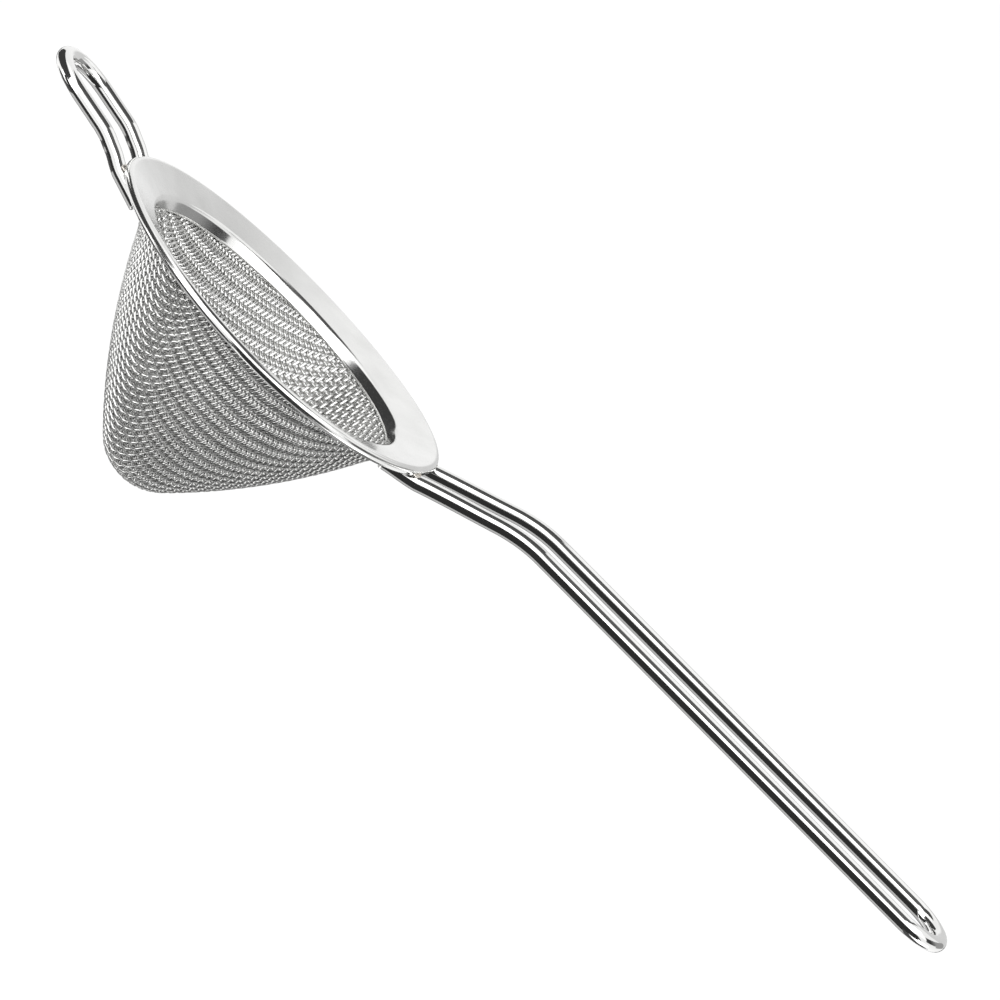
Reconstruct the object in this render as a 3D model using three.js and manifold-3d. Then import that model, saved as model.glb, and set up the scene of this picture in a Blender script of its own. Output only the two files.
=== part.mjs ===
// Conical cocktail strainer: a stamped wire-cloth cone in a flanged rim, with a bent-rod handle
// on one side and a short bent-rod rest on the other. Everything is stainless steel and welded.
// Millimetres, +Z up out of the mouth, +X along the handle.
// The origin is the middle of the mouth, level with the top of the rim.

import * as THREE from 'three';
import { mergeVertices } from 'three/addons/utils/BufferGeometryUtils.js';
import Module from 'manifold-3d';

// Rim: a sheet ring that slopes down to the mouth, with a curled outer edge and a turned-down lip
const RIM_RADIUS = 40.4;
const BEAD_RADIUS = 0.7;
const FLANGE_SLOPE = 16.6;
const RIM_SHEET = 0.5;
const FLANGE_WIDTH = 10.3;
const LIP_DROP = 4.85;
const MOUTH_BEND = 1.4;

// Clamp ring: the flat ring under the flange that holds the edge of the cloth
const RING_SHEET = 0.4;

// Wire cloth: an arched wall that runs into a round nose
const CLOTH = 0.8;
const CONE_DEPTH = 43.35;
const NOSE_RADIUS = 10.5;
const WALL_RADIUS = 133.2;

// Cloth openings: a plain grid stands in for the fine weave, below a closed hem at the rim
const CLOTH_HEM = 3;
const CLOTH_STRAND = 2;
const CLOTH_ROWS = 7;
const CLOTH_COLUMNS = 24;
const NOSE_COLUMNS = 12;

// Rods: one wire size for the handle and the rest
const ROD_DIAMETER = 3.2;
const HANDLE_SPACING = 15.9;
const HANDLE_RISE = 21.1;
const HANDLE_LIFT = 5.0;
const HANDLE_SLOPE = 1.6;
const HANDLE_REACH = 167.8;
const HANDLE_KNEE = 30;
const REST_SPACING = 17.4;
const REST_RISE = 38;
const REST_LIFT = 0.5;
const REST_SLOPE = 10.7;
const REST_REACH = 64.7;
const REST_KNEE = 14;
const TAIL_BEND = 8;

// Welds: a small nugget where each leg crosses under the curled edge
const WELD_ALONG = 1.9;
const WELD_ACROSS = 2.1;
const WELD_HIGH = 1.2;

// Clearances: between pieces that rest on each other, and from a rod's end to the cloth
const SEAT_GAP = 0.3;
const TAIL_GAP = 0.8;

// Facets
const TURN_STEPS = 72;
const CURL_STEPS = 12;
const MOUTH_STEPS = 5;
const EDGE_STEPS = 3;
const NOSE_STEPS = 5;
const ROD_SIDES = 16;
const BEND_STEPS = 6;
const LOOP_STEPS = 18;
const BLOB_SIDES = 16;
const BLOB_ROWS = 10;

// Limits: the least radius of a folded sheet, and the share of a straight run that one bend may use
const LEAST_FOLD = 0.2;
const BEND_SHARE = 0.49;
const SETTLE_ROUNDS = 30;

const rad = THREE.MathUtils.degToRad;
const slope = rad(FLANGE_SLOPE);
const rod = ROD_DIAMETER / 2;
const mouth = RIM_RADIUS - FLANGE_WIDTH;
const beadR = RIM_RADIUS - BEAD_RADIUS;
const beadZ = -BEAD_RADIUS;

// Cloth wall: arcs about one centre, so that lip, cloth and ring keep even gaps
const noseZ = NOSE_RADIUS - CONE_DEPTH;
const lipFace = WALL_RADIUS - SEAT_GAP - RIM_SHEET;
const wallCentre = circleMeet(
  new THREE.Vector2(mouth, -LIP_DROP), lipFace,
  new THREE.Vector2(0, noseZ), WALL_RADIUS - NOSE_RADIUS,
);

// The left-hand point that lies at distance ra from a and rb from b
function circleMeet(a, ra, b, rb) {
  const d = b.clone().sub(a);
  const along = (ra * ra - rb * rb + d.lengthSq()) / (2 * d.length());
  const off = Math.sqrt(ra * ra - along * along);
  const u = d.normalize();
  const foot = a.clone().addScaledVector(u, along);
  const side = new THREE.Vector2(u.y, -u.x);
  const p = foot.clone().addScaledVector(side, off);
  const q = foot.clone().addScaledVector(side, -off);
  return p.x < q.x ? p : q;
}

// Distance from the axis of a wall arc at height z
function wallAt(radius, z) {
  return wallCentre.x + Math.sqrt(radius * radius - (z - wallCentre.y) ** 2);
}

// Height of a line that lies a given depth under the flange's top face
function underFlange(r, depth) {
  const touchR = beadR - BEAD_RADIUS * Math.sin(slope);
  const touchZ = beadZ + BEAD_RADIUS * Math.cos(slope);
  return touchZ - (touchR - r) * Math.tan(slope) - depth / Math.cos(slope);
}

// Where a wall arc meets a line that lies a given depth under the flange's top face
function cornerAt(radius, depth) {
  let r = mouth;
  for (let i = 0; i < SETTLE_ROUNDS; i += 1) {
    r = wallAt(radius, underFlange(r, depth));
  }
  return new THREE.Vector2(r, underFlange(r, depth));
}

// Points of an arc, from one angle to another
function arc(x, y, radius, from, to, steps) {
  const out = [];
  for (let i = 0; i <= steps; i += 1) {
    const a = from + ((to - from) * i) / steps;
    out.push(new THREE.Vector2(x + radius * Math.cos(a), y + radius * Math.sin(a)));
  }
  return out;
}

// Rounds the inner corners of a path of points; a radius that would not fit is eased to fit
function rounded(points, radii, steps) {
  const out = [points[0].clone()];
  for (let i = 1; i < points.length - 1; i += 1) {
    const p = points[i];
    const a = points[i - 1].clone().sub(p);
    const b = points[i + 1].clone().sub(p);
    const room = BEND_SHARE * Math.min(a.length(), b.length());
    a.normalize();
    b.normalize();
    const half = Math.acos(THREE.MathUtils.clamp(a.dot(b), -1, 1)) / 2;
    const cut = Math.min(radii[i - 1] / Math.tan(half), room);
    const r = cut * Math.tan(half);
    const mid = a.clone().add(b).normalize();
    const c = p.clone().addScaledVector(mid, r / Math.sin(half));
    const from = p.clone().addScaledVector(a, cut).sub(c).angle();
    let turn = p.clone().addScaledVector(b, cut).sub(c).angle() - from;
    turn = Math.atan2(Math.sin(turn), Math.cos(turn));
    out.push(...arc(c.x, c.y, r, from, from + turn, steps));
  }
  out.push(points[points.length - 1].clone());
  return out;
}

// Keeps positions only, welds shared corners and turns the faces outward
function tidy(geometry) {
  geometry.deleteAttribute('normal');
  geometry.deleteAttribute('uv');
  const merged = mergeVertices(geometry, 1e-4);
  const p = merged.attributes.position;
  const index = merged.index.array;
  const a = new THREE.Vector3();
  const b = new THREE.Vector3();
  const c = new THREE.Vector3();
  const kept = [];
  let volume = 0;
  for (let i = 0; i < index.length; i += 3) {
    if (index[i] !== index[i + 1] && index[i + 1] !== index[i + 2] && index[i + 2] !== index[i]) {
      kept.push(index[i], index[i + 1], index[i + 2]);
      a.fromBufferAttribute(p, index[i]);
      b.fromBufferAttribute(p, index[i + 1]);
      c.fromBufferAttribute(p, index[i + 2]);
      volume += a.dot(b.cross(c));
    }
  }
  merged.setIndex(volume < 0 ? kept.reverse() : kept);
  merged.computeVertexNormals();
  return merged;
}

// Turns a closed profile about the Z axis
function turned(profile) {
  const geometry = new THREE.LatheGeometry(profile, TURN_STEPS);
  geometry.rotateX(Math.PI / 2);
  return tidy(geometry);
}

// The rim's profile, larger all round by a margin
function rimProfile(margin) {
  const top = -margin;
  const bottom = RIM_SHEET + margin;
  const lip = lipFace - margin;
  const lipBack = lipFace + RIM_SHEET + margin;
  const tip = -LIP_DROP - margin;
  const bead = BEAD_RADIUS + margin;
  const touch = new THREE.Vector2(beadR - bead * Math.sin(slope), beadZ + bead * Math.cos(slope));
  const face = rounded(
    [touch, cornerAt(lip, top), new THREE.Vector2(wallAt(lip, tip), tip)],
    [MOUTH_BEND + margin], MOUTH_STEPS,
  );
  // the back of the sheet leaves the curled edge where it meets the bead
  const meet = Math.asin(THREE.MathUtils.clamp((bottom - BEAD_RADIUS) / bead, -1, 1));
  const start = Math.PI + slope + meet;
  const leave = new THREE.Vector2(beadR + bead * Math.cos(start), beadZ + bead * Math.sin(start));
  const back = rounded(
    [new THREE.Vector2(wallAt(lipBack, tip), tip), cornerAt(lipBack, bottom), leave],
    [Math.max(MOUTH_BEND - RIM_SHEET - margin, LEAST_FOLD)], EDGE_STEPS,
  );
  const curl = arc(beadR, beadZ, bead, start, Math.PI * 2.5 + slope, CURL_STEPS);
  return [...face, ...back, ...curl.slice(1)];
}

// The clamp ring's profile, larger all round by a margin
function ringProfile(margin) {
  const topDepth = RIM_SHEET + SEAT_GAP;
  const clothOuter = WALL_RADIUS + CLOTH + SEAT_GAP;
  const r = RING_SHEET / 2;
  const inner = cornerAt(clothOuter, topDepth).x + r;
  const outer = beadR - BEAD_RADIUS - SEAT_GAP - r;
  const edge = (x, from) => {
    const y = underFlange(x, topDepth + r);
    return arc(x, y, r + margin, from, from + Math.PI, EDGE_STEPS);
  };
  const ring = [...edge(inner, slope + Math.PI / 2), ...edge(outer, slope - Math.PI / 2)];
  return [...ring, ring[0].clone()];
}

// The cloth's wall: where it starts at the rim and where it runs into the nose
const clothTop = cornerAt(WALL_RADIUS, RIM_SHEET + SEAT_GAP).y;
const noseAway = new THREE.Vector2(0, noseZ).sub(wallCentre);
const noseTurn = Math.atan2(noseAway.y, noseAway.x);

// Angles along the wall at which the rows of openings begin and end
function rowAngles() {
  const start = Math.asin((clothTop - wallCentre.y) / WALL_RADIUS) - CLOTH_HEM / WALL_RADIUS;
  const pitch = (start - noseTurn) / CLOTH_ROWS;
  const out = [];
  for (let i = 0; i < CLOTH_ROWS; i += 1) {
    const top = start - i * pitch;
    out.push(top, top - pitch + CLOTH_STRAND / WALL_RADIUS);
  }
  return out;
}

// One skin of the cloth, from the rim to the tip of the nose
function clothSkin(offset) {
  const radius = WALL_RADIUS + offset;
  const edge = new THREE.Vector2(wallAt(radius, clothTop), clothTop);
  const rows = rowAngles().map((a) => arc(wallCentre.x, wallCentre.y, radius, a, a, 1)[0]);
  const cap = arc(0, noseZ, NOSE_RADIUS + offset, noseTurn, -Math.PI / 2, NOSE_STEPS);
  cap[NOSE_STEPS].x = 0;
  return [edge, ...rows, ...cap];
}

// Whether a cell of the cloth is open: every other cell of every other row on the wall, and
// one ring of wider openings round the nose; beyond the rim edge is open too
function isOpen(row, column) {
  const noseRow = row - 2 * CLOTH_ROWS - 1;
  if (noseRow < 0) {
    return row < 0 || (row % 2 === 1 && column % 2 === 1);
  }
  const share = (2 * CLOTH_COLUMNS) / NOSE_COLUMNS;
  return noseRow >= 1 && noseRow < NOSE_STEPS - 2 && column % share < share / 2;
}

// The cloth: an outer and an inner skin of cells, with the open cells left out and walled round
function cloth() {
  const outer = clothSkin(CLOTH);
  const inner = clothSkin(0);
  const columns = 2 * CLOTH_COLUMNS;
  const corners = [];
  const at = (skin, row, column) => {
    const a = (2 * Math.PI * column) / columns;
    return [skin[row].x * Math.cos(a), skin[row].x * Math.sin(a), skin[row].y];
  };
  const face = (a, b, c, d) => corners.push(...a, ...b, ...c, ...a, ...c, ...d);
  // a wall through the cloth, from one corner of a cell to the next
  const wall = (r1, c1, r2, c2) => {
    face(at(outer, r1, c1), at(outer, r2, c2), at(inner, r2, c2), at(inner, r1, c1));
  };
  for (let r = 0; r < outer.length - 1; r += 1) {
    for (let c = 0; c < columns; c += 1) {
      if (!isOpen(r, c)) {
        const next = (c + 1) % columns;
        const last = (c + columns - 1) % columns;
        face(at(outer, r, c), at(outer, r + 1, c), at(outer, r + 1, c + 1), at(outer, r, c + 1));
        face(at(inner, r, c), at(inner, r, c + 1), at(inner, r + 1, c + 1), at(inner, r + 1, c));
        if (isOpen(r - 1, c)) wall(r, c, r, c + 1);
        if (isOpen(r + 1, c)) wall(r + 1, c + 1, r + 1, c);
        if (isOpen(r, next)) wall(r, c + 1, r + 1, c + 1);
        if (isOpen(r, last)) wall(r + 1, c, r, c);
      }
    }
  }
  const geometry = new THREE.BufferGeometry();
  geometry.setAttribute('position', new THREE.Float32BufferAttribute(corners, 3));
  return tidy(geometry);
}

// A path through given points, one step to each
class PointPath extends THREE.Curve {
  constructor(points) {
    super();
    this.points = points;
  }

  getPoint(t, target = new THREE.Vector3()) {
    const last = this.points.length - 1;
    const i = Math.min(Math.floor(t * last + 1e-9), last - 1);
    return target.lerpVectors(this.points[i], this.points[i + 1], t * last - i);
  }

  getPointAt(t, target) {
    return this.getPoint(t, target);
  }

  getTangentAt(t, target = new THREE.Vector3()) {
    const last = this.points.length - 1;
    const i = Math.round(t * last);
    const a = this.points[Math.max(i - 1, 0)];
    const b = this.points[Math.min(i + 1, last)];
    return target.subVectors(b, a).normalize();
  }
}

// A round rod along a path
function rodAlong(points, radius) {
  const section = [];
  for (let i = 0; i < ROD_SIDES; i += 1) {
    const a = (2 * Math.PI * i) / ROD_SIDES;
    section.push(new THREE.Vector2(radius * Math.cos(a), radius * Math.sin(a)));
  }
  const extrudePath = new PointPath(points);
  const options = { steps: points.length - 1, bevelEnabled: false, extrudePath };
  return tidy(new THREE.ExtrudeGeometry(new THREE.Shape(section), options));
}

// Where a leg crosses under the curled edge, and the line of its tail along the flange
function crossing(spacing) {
  const y = spacing / 2;
  const x = Math.sqrt(beadR * beadR - y * y);
  const z = beadZ - (BEAD_RADIUS + SEAT_GAP + rod) / Math.cos(slope);
  return { x, y, z };
}

// A loop of rod: tail under the flange, rise, knee and grip on each leg, joined by a half turn
function loopPath(spacing, rise, lift, grip, reach, knee) {
  const { x, y, z } = crossing(spacing);
  const tan = Math.tan(slope);
  const clothRadius = wallAt(WALL_RADIUS + CLOTH, underFlange(mouth, RIM_SHEET));
  const near = Math.sqrt((clothRadius + TAIL_GAP) ** 2 - (y - rod) ** 2);
  const startX = near + rod * Math.sin(slope);
  const bendX = RIM_RADIUS;
  const bendZ = z + (bendX - x) * tan;
  const kneeX = bendX + (lift - bendZ) / Math.tan(rad(rise));
  const dir = new THREE.Vector2(Math.cos(rad(grip)), Math.sin(rad(grip)));
  const run = (reach - rod - kneeX) / dir.x - y;
  const end = new THREE.Vector2(kneeX, lift).addScaledVector(dir, run);
  const leg = rounded(
    [
      new THREE.Vector2(startX, z - (x - startX) * tan),
      new THREE.Vector2(bendX, bendZ),
      new THREE.Vector2(kneeX, lift),
      end,
    ],
    [TAIL_BEND, knee], BEND_STEPS,
  );
  const path = leg.map((p) => new THREE.Vector3(p.x, -y, p.y));
  for (let i = 1; i < LOOP_STEPS; i += 1) {
    const a = (Math.PI * i) / LOOP_STEPS;
    const out = y * Math.sin(a);
    path.push(new THREE.Vector3(end.x + out * dir.x, -y * Math.cos(a), end.y + out * dir.y));
  }
  path.push(...leg.reverse().map((p) => new THREE.Vector3(p.x, y, p.y)));
  return path;
}

const handlePath = loopPath(
  HANDLE_SPACING, HANDLE_RISE, HANDLE_LIFT, HANDLE_SLOPE, HANDLE_REACH, HANDLE_KNEE,
);
const restPath = loopPath(
  REST_SPACING, REST_RISE, REST_LIFT, REST_SLOPE, REST_REACH, REST_KNEE,
);
const acrossMouth = new THREE.Vector3(-1, -1, 1);
const restPoints = restPath.map((p) => p.clone().multiply(acrossMouth));

// Weld nuggets: a rounded blob, less the room that the rim, the ring and the rods take up
const wasm = await Module();
wasm.setup();

function solid(geometry) {
  const vertProperties = new Float32Array(geometry.attributes.position.array);
  const triVerts = new Uint32Array(geometry.index.array);
  return new wasm.Manifold(new wasm.Mesh({ numProp: 3, vertProperties, triVerts }));
}

function shape(manifold) {
  const mesh = manifold.getMesh();
  const geometry = new THREE.BufferGeometry();
  geometry.setAttribute('position', new THREE.BufferAttribute(mesh.vertProperties, 3));
  geometry.setIndex(new THREE.BufferAttribute(mesh.triVerts, 1));
  geometry.computeVertexNormals();
  return geometry;
}

const rimRoom = solid(turned(rimProfile(SEAT_GAP)));
const ringRoom = solid(turned(ringProfile(SEAT_GAP)));
const rodRoom = [handlePath, restPoints].map((path) => solid(rodAlong(path, rod + SEAT_GAP)));

function weld(spacing, towards, side) {
  const { x, y, z } = crossing(spacing);
  const blob = new THREE.SphereGeometry(1, BLOB_SIDES, BLOB_ROWS);
  blob.scale(WELD_ALONG, WELD_ACROSS, WELD_HIGH);
  blob.rotateY(-slope);
  const lower = BEAD_RADIUS + SEAT_GAP / 2;
  blob.translate(x + lower * Math.sin(slope), y, beadZ - lower * Math.cos(slope));
  blob.scale(towards, side, 1);
  const taken = [rimRoom, ringRoom, ...rodRoom];
  return shape(taken.reduce((left, room) => left.subtract(room), solid(tidy(blob))));
}

// Materials and pieces
const polished = { color: 0xd9dbdc, metalness: 1, roughness: 0.12 };
const satin = { color: 0xcfd1d2, metalness: 1, roughness: 0.3 };
const woven = { color: 0xb9bbb8, metalness: 1, roughness: 0.35 };
const welded = { color: 0xa79c88, metalness: 1, roughness: 0.4 };

const strainer = new THREE.Group();

function piece(name, geometry, look) {
  const mesh = new THREE.Mesh(geometry, new THREE.MeshStandardMaterial(look));
  mesh.name = name;
  strainer.add(mesh);
}

piece('rim_flange', turned(rimProfile(0)), satin);
piece('mesh_clamp_ring', turned(ringProfile(0)), satin);
piece('mesh_cone', cloth(), woven);
piece('handle_rod', rodAlong(handlePath, rod), polished);
piece('rest_rod', rodAlong(restPoints, rod), polished);
piece('weld_handle_right', weld(HANDLE_SPACING, 1, -1), welded);
piece('weld_handle_left', weld(HANDLE_SPACING, 1, 1), welded);
piece('weld_rest_right', weld(REST_SPACING, -1, -1), welded);
piece('weld_rest_left', weld(REST_SPACING, -1, 1), welded);

export default strainer;
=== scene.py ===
# %% [markdown]
# # A conical cocktail strainer in polished steel
# The tool is a cone of woven wire held in a stamped rim. One bent rod makes the long handle, another
# makes the short rest on the far side, and a weld joins each leg to the rim.
# The solid model gives every place and size. This lesson gives the pieces their real surface: wires that
# really pass over and under each other, a rolled rim, smooth rods and lumpy welds.

# %% Load the fixed frame
import math

import bpy
import numpy as np
from mathutils import Matrix, Vector


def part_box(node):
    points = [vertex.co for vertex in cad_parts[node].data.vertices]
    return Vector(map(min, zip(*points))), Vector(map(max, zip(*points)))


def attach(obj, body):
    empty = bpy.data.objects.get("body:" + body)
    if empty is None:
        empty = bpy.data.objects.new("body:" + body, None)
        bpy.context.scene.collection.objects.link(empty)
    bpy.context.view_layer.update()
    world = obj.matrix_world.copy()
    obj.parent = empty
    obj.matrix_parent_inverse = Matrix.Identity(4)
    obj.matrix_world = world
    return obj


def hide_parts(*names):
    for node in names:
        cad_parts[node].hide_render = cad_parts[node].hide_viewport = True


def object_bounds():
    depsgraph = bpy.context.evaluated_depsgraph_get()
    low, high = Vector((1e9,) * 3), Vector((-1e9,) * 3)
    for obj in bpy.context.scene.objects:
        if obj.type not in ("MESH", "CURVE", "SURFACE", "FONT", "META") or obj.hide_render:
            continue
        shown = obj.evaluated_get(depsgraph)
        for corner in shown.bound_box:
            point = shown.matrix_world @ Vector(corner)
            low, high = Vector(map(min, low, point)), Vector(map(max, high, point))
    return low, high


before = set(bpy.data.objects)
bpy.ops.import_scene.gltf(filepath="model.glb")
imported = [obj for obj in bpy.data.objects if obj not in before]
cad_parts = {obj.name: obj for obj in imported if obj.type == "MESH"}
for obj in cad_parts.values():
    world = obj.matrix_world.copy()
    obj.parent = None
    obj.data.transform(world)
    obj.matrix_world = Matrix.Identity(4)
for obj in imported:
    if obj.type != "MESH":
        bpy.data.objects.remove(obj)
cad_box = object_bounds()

MM = 0.001
for name in sorted(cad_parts):
    low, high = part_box(name)
    print(name, "size in mm:", [round(s / MM, 1) for s in high - low])

# %% [markdown]
# ## The camera
# The picture was taken from the side and a little above, with a long lens, and then turned so that the
# tool lies across the frame from corner to corner. A long lens far away keeps the rim's near and far
# halves alike. The camera is placed by three angles about a point near the middle of the tool.

# %% Place the camera
AIM = Vector((52.56, 0.0, 5.11)) * MM
AZIMUTH = math.radians(2.06)
ELEVATION = math.radians(12.3)
ROLL = math.radians(46.15)
DISTANCE = 927.6 * MM
LENS = 181.0
NEAR_CLIP = 50 * MM

back = Vector((
    math.sin(AZIMUTH) * math.cos(ELEVATION),
    -math.cos(AZIMUTH) * math.cos(ELEVATION),
    math.sin(ELEVATION),
))
level = Vector((math.cos(AZIMUTH), math.sin(AZIMUTH), 0.0))
upward = back.cross(level)
across = level * math.cos(ROLL) + upward * math.sin(ROLL)
camera_data = bpy.data.cameras.new("camera")
camera_data.lens = LENS
camera_data.clip_start = NEAR_CLIP
camera = bpy.data.objects.new("camera", camera_data)
bpy.context.scene.collection.objects.link(camera)
turn = Matrix((across, back.cross(across), back)).transposed()
camera.matrix_world = Matrix.Translation(AIM + back * DISTANCE) @ turn.to_4x4()
bpy.context.scene.camera = camera
bpy.context.scene.view_settings.view_transform = "Standard"
print("camera at", [round(v, 3) for v in camera.matrix_world.translation], "lens", LENS)

# %% [markdown]
# ## Helpers for meshes
# Most pieces here are grids of points: a profile swept round an axis, or a circle swept along a path.
# One helper turns such a grid into a mesh with a UV map in millimetres, so that fine marks can later
# follow the metal instead of the world.

# %% Mesh helper
def make_piece(name, points, quads, uv=None, caps=()):
    """A smooth mesh piece on the tool's one body, from arrays of points and four-sided faces."""
    points = np.asarray(points, np.float32)
    quads = np.asarray(quads, np.int32)
    corners = np.concatenate([quads.ravel(), *[np.asarray(cap, np.int32) for cap in caps]])
    sizes = np.array([4] * len(quads) + [len(cap) for cap in caps], np.int32)
    starts = np.concatenate([[0], np.cumsum(sizes)[:-1]]).astype(np.int32)
    mesh = bpy.data.meshes.new(name)
    mesh.vertices.add(len(points))
    mesh.vertices.foreach_set("co", points.ravel())
    mesh.loops.add(len(corners))
    mesh.loops.foreach_set("vertex_index", corners)
    mesh.polygons.add(len(sizes))
    mesh.polygons.foreach_set("loop_start", starts)
    mesh.update(calc_edges=True)
    mesh.validate()
    mesh.polygons.foreach_set("use_smooth", np.ones(len(sizes), bool))
    if uv is not None:
        layer = mesh.uv_layers.new(name="run")
        layer.data.foreach_set("uv", np.asarray(uv, np.float32)[corners].ravel())
    piece = bpy.data.objects.new(name, mesh)
    bpy.context.scene.collection.objects.link(piece)
    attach(piece, "root")
    return piece


# %% Path helpers
def arc(centre, radius, start, end, steps):
    """Points of an arc in a plane."""
    angle = np.linspace(start, end, steps + 1)
    return np.stack([centre[0] + radius * np.cos(angle), centre[1] + radius * np.sin(angle)], 1)


def rounded(points, radii, steps):
    """A path through points, with each inner corner rounded to its radius."""
    points = [np.asarray(p, float) for p in points]
    path = [points[0][None]]
    for before, corner, after, radius in zip(points, points[1:], points[2:], radii):
        a = (before - corner) / np.linalg.norm(before - corner)
        b = (after - corner) / np.linalg.norm(after - corner)
        half = math.acos(float(np.clip(a @ b, -1, 1))) / 2
        cut = radius / math.tan(half)
        middle = corner + (a + b) / np.linalg.norm(a + b) * radius / math.sin(half)
        p, q = corner + a * cut - middle, corner + b * cut - middle
        begin = math.atan2(p[1], p[0])
        sweep = math.atan2(q[1], q[0]) - begin
        sweep = math.atan2(math.sin(sweep), math.cos(sweep))
        path.append(arc(middle, radius, begin, begin + sweep, steps))
    path.append(points[-1][None])
    return np.concatenate(path)


def eased(t):
    """A smooth step from 0 to 1."""
    t = np.clip(t, 0.0, 1.0)
    return t * t * (3 - 2 * t)


def dense(path, spacing):
    """Adds points to the long straight runs of a path, so that the mesh is even."""
    out = [path[:1]]
    for a, b in zip(path, path[1:]):
        count = max(1, int(np.linalg.norm(b - a) / spacing))
        out.append(a + (b - a) * (np.arange(1, count + 1) / count)[:, None])
    return np.concatenate(out)


def run_along(path):
    """The distance travelled along a path at each of its points."""
    return np.concatenate([[0], np.cumsum(np.linalg.norm(np.diff(path, axis=0), axis=1))])


# %% [markdown]
# ## The wall that rim and cloth share
# In a section through the axis the wire cloth is one long shallow arc that runs into a round nose. The
# lip of the rim follows the same arc, so both are drawn about the same centre. That centre needn't be
# measured: the arc passes through the upper edge of the cone's box and touches the nose, and these two
# distances fix it.

# %% Find the wall arc from the frame
CLOTH = 0.8 * MM
NOSE_RADIUS = 10.5 * MM
WALL_RADIUS = 133.2 * MM

cone_low, cone_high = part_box("mesh_cone")
nose_centre = np.array([0.0, cone_low.z + NOSE_RADIUS + CLOTH])


def circle_meet(a, ra, b, rb):
    """The point nearer the axis that lies ra from a and rb from b."""
    gap = np.linalg.norm(b - a)
    along = (ra * ra - rb * rb + gap * gap) / (2 * gap)
    off = math.sqrt(ra * ra - along * along)
    u = (b - a) / gap
    side = np.array([u[1], -u[0]])
    return min((a + u * along + side * off * s for s in (1, -1)), key=lambda p: p[0])


wall_centre = circle_meet(
    np.array([cone_high.x, cone_high.z]), WALL_RADIUS + CLOTH,
    nose_centre, WALL_RADIUS - NOSE_RADIUS,
)


def wall_at(radius, z):
    """Distance of a wall arc from the axis at a height."""
    return wall_centre[0] + math.sqrt(radius ** 2 - (z - wall_centre[1]) ** 2)


print("wall arc about", np.round(wall_centre / MM, 2), "mm")

# %% [markdown]
# ## The rim
# The rim is a sheet ring pressed to slope down to the mouth. Its outer edge is rolled into a bead and its
# inner edge is turned down as a lip. It could be a bevelled curve, but a closed profile turned about the
# axis gives exact control of the bead, the bend and the lip. Pressed sheet is never quite true, so a
# few slow waves, and a little spring where the rods are welded, go into the turned form.

# %% Lines of the rim's section
SEAT_GAP = 0.3 * MM
RIM_SHEET = 0.5 * MM
BEAD_RADIUS = 1.0 * MM
FLANGE_SLOPE = math.radians(16.6)
# The rolled edge is drawn rounder than the solid one, and this much smaller all round.
RIM_TRIM = 0.35 * MM
MEET_ROUNDS = 30

rim_low, rim_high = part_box("rim_flange")
rim_radius = rim_high.x - RIM_TRIM
bead_centre = np.array([rim_radius - BEAD_RADIUS, -BEAD_RADIUS])
flange_touch = bead_centre + BEAD_RADIUS * np.array([-math.sin(FLANGE_SLOPE), math.cos(FLANGE_SLOPE)])


def under_flange(r, depth):
    """Height of a line that lies a given depth under the flange's top face."""
    top = flange_touch[1] - (flange_touch[0] - r) * math.tan(FLANGE_SLOPE)
    return top - depth / math.cos(FLANGE_SLOPE)


def corner_at(radius, depth):
    """Where a wall arc meets a line that lies a given depth under the flange."""
    r = cone_high.x
    for _ in range(MEET_ROUNDS):
        r = wall_at(radius, under_flange(r, depth))
    return np.array([r, under_flange(r, depth)])


print("rim radius", round(rim_radius / MM, 2), "mm, bead", round(2 * BEAD_RADIUS / MM, 1), "mm thick")

# %% Rim profile
MOUTH_BEND = 1.4 * MM
FACE_STEPS = 16
FOLD_STEPS = 8
BACK_STEPS = 10
CURL_STEPS = 36
RIM_SPACING = 0.35 * MM


def rim_profile():
    """The closed outline of the rim: top face, bend, lip, back and rolled bead."""
    lip = WALL_RADIUS - SEAT_GAP - RIM_SHEET
    lip_back = lip + RIM_SHEET
    edge = RIM_SHEET / 2
    tip = rim_low.z + edge
    face = rounded([flange_touch, corner_at(lip, 0.0), (wall_at(lip, tip), tip)], [MOUTH_BEND], FACE_STEPS)
    middle = (face[-1] + [wall_at(lip_back, tip), tip]) / 2
    fold = arc(middle, edge, math.pi, 2 * math.pi, FOLD_STEPS)
    meet = math.asin((RIM_SHEET - BEAD_RADIUS) / BEAD_RADIUS)
    start = math.pi + FLANGE_SLOPE + meet
    leave = bead_centre + BEAD_RADIUS * np.array([math.cos(start), math.sin(start)])
    back_corners = [fold[-1], corner_at(lip_back, RIM_SHEET), leave]
    behind = rounded(back_corners, [MOUTH_BEND - RIM_SHEET], BACK_STEPS)
    curl = arc(bead_centre, BEAD_RADIUS, start, 2.5 * math.pi + FLANGE_SLOPE, CURL_STEPS)
    outline = np.concatenate([face, fold[1:], behind[1:], curl[1:-1]])
    return dense(np.concatenate([outline, outline[:1]]), RIM_SPACING)[:-1]


print("rim outline of", len(rim_profile()), "points")

# %% Turn the rim
TURN_STEPS = 288
# The rim's spring: up at the two welded ends, down at the sides, and lower and askew on the near side.
SADDLE = 0.4 * MM
NEAR_DIP = 0.4 * MM
NEAR_TWIST = 0.8 * MM
# Waves in the sheet: their height, how many go round, how they are shifted, and their run across it.
WAVE = 0.012 * MM
WAVE_COUNTS = (3, 5, 7, 11)
WAVE_SHIFT = 1.7
WAVE_RUN = 4 * MM


def spring_at(x, y):
    """How far the rim springs up or down at a place of the ground plan."""
    near = np.minimum(y, 0.0)
    return (SADDLE * (x * x - y * y) - NEAR_DIP * near ** 2 + NEAR_TWIST * x * near) / rim_radius ** 2


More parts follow.
